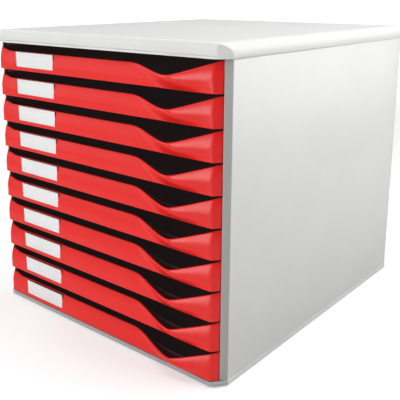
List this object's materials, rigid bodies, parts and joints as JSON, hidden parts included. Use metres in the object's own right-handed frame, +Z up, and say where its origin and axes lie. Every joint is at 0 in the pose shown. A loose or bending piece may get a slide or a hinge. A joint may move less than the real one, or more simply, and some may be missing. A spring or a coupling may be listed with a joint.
{
  "type": "desktop drawer set",
  "caption": "Box-shaped desktop drawer set: light plastic housing with a stack of shallow pull-out trays, each with a coloured front, a label window and a finger pull.",
  "frame": {"origin": "on the desk, under the middle of the whole outline with the drawers shut", "axes": "+X to the right seen from the front, +Y to the back, +Z up; the drawers pull out along -Y"},
  "size_m": [0.29, 0.3455, 0.2861],
  "materials": {
    "housing_grey": "fine satin, moulded light grey polystyrene",
    "drawer_red": "semi-gloss, moulded red polystyrene",
    "tray_black": "satin, moulded black polystyrene",
    "label_paper": "matt white card",
    "label_clear": "clear polystyrene",
    "foot_rubber": "matt black rubber"
  },
  "bodies": {
    "housing": {"top_cover": "housing_grey", "left_side_wall": "housing_grey", "right_side_wall": "housing_grey", "back_panel": "housing_grey", "base_tray": "housing_grey", "rubber_feet": "foot_rubber"},
    "drawer_01": {"drawer_front_01": "drawer_red", "drawer_tray_01": "tray_black", "label_card_01": "label_paper", "label_window_01": "label_clear"},
    "drawer_02": {"drawer_front_02": "drawer_red", "drawer_tray_02": "tray_black", "label_card_02": "label_paper", "label_window_02": "label_clear"},
    "drawer_03": {"drawer_front_03": "drawer_red", "drawer_tray_03": "tray_black", "label_card_03": "label_paper", "label_window_03": "label_clear"},
    "drawer_04": {"drawer_front_04": "drawer_red", "drawer_tray_04": "tray_black", "label_card_04": "label_paper", "label_window_04": "label_clear"},
    "drawer_05": {"drawer_front_05": "drawer_red", "drawer_tray_05": "tray_black", "label_card_05": "label_paper", "label_window_05": "label_clear"},
    "drawer_06": {"drawer_front_06": "drawer_red", "drawer_tray_06": "tray_black", "label_card_06": "label_paper", "label_window_06": "label_clear"},
    "drawer_07": {"drawer_front_07": "drawer_red", "drawer_tray_07": "tray_black", "label_card_07": "label_paper", "label_window_07": "label_clear"},
    "drawer_08": {"drawer_front_08": "drawer_red", "drawer_tray_08": "tray_black", "label_card_08": "label_paper", "label_window_08": "label_clear"},
    "drawer_09": {"drawer_front_09": "drawer_red", "drawer_tray_09": "tray_black", "label_card_09": "label_paper", "label_window_09": "label_clear"},
    "drawer_10": {"drawer_front_10": "drawer_red", "drawer_tray_10": "tray_black", "label_card_10": "label_paper", "label_window_10": "label_clear"}
  },
  "joints": [
    {"name": "drawer_01_slide", "type": "slide", "parent": "housing", "child": "drawer_01", "axis": [0, -1, 0], "range_m": [0, 0.24]},
    {"name": "drawer_02_slide", "type": "slide", "parent": "housing", "child": "drawer_02", "axis": [0, -1, 0], "range_m": [0, 0.24]},
    {"name": "drawer_03_slide", "type": "slide", "parent": "housing", "child": "drawer_03", "axis": [0, -1, 0], "range_m": [0, 0.24]},
    {"name": "drawer_04_slide", "type": "slide", "parent": "housing", "child": "drawer_04", "axis": [0, -1, 0], "range_m": [0, 0.24]},
    {"name": "drawer_05_slide", "type": "slide", "parent": "housing", "child": "drawer_05", "axis": [0, -1, 0], "range_m": [0, 0.24]},
    {"name": "drawer_06_slide", "type": "slide", "parent": "housing", "child": "drawer_06", "axis": [0, -1, 0], "range_m": [0, 0.24]},
    {"name": "drawer_07_slide", "type": "slide", "parent": "housing", "child": "drawer_07", "axis": [0, -1, 0], "range_m": [0, 0.24]},
    {"name": "drawer_08_slide", "type": "slide", "parent": "housing", "child": "drawer_08", "axis": [0, -1, 0], "range_m": [0, 0.24]},
    {"name": "drawer_09_slide", "type": "slide", "parent": "housing", "child": "drawer_09", "axis": [0, -1, 0], "range_m": [0, 0.24]},
    {"name": "drawer_10_slide", "type": "slide", "parent": "housing", "child": "drawer_10", "axis": [0, -1, 0], "range_m": [0, 0.24]}
  ]
}
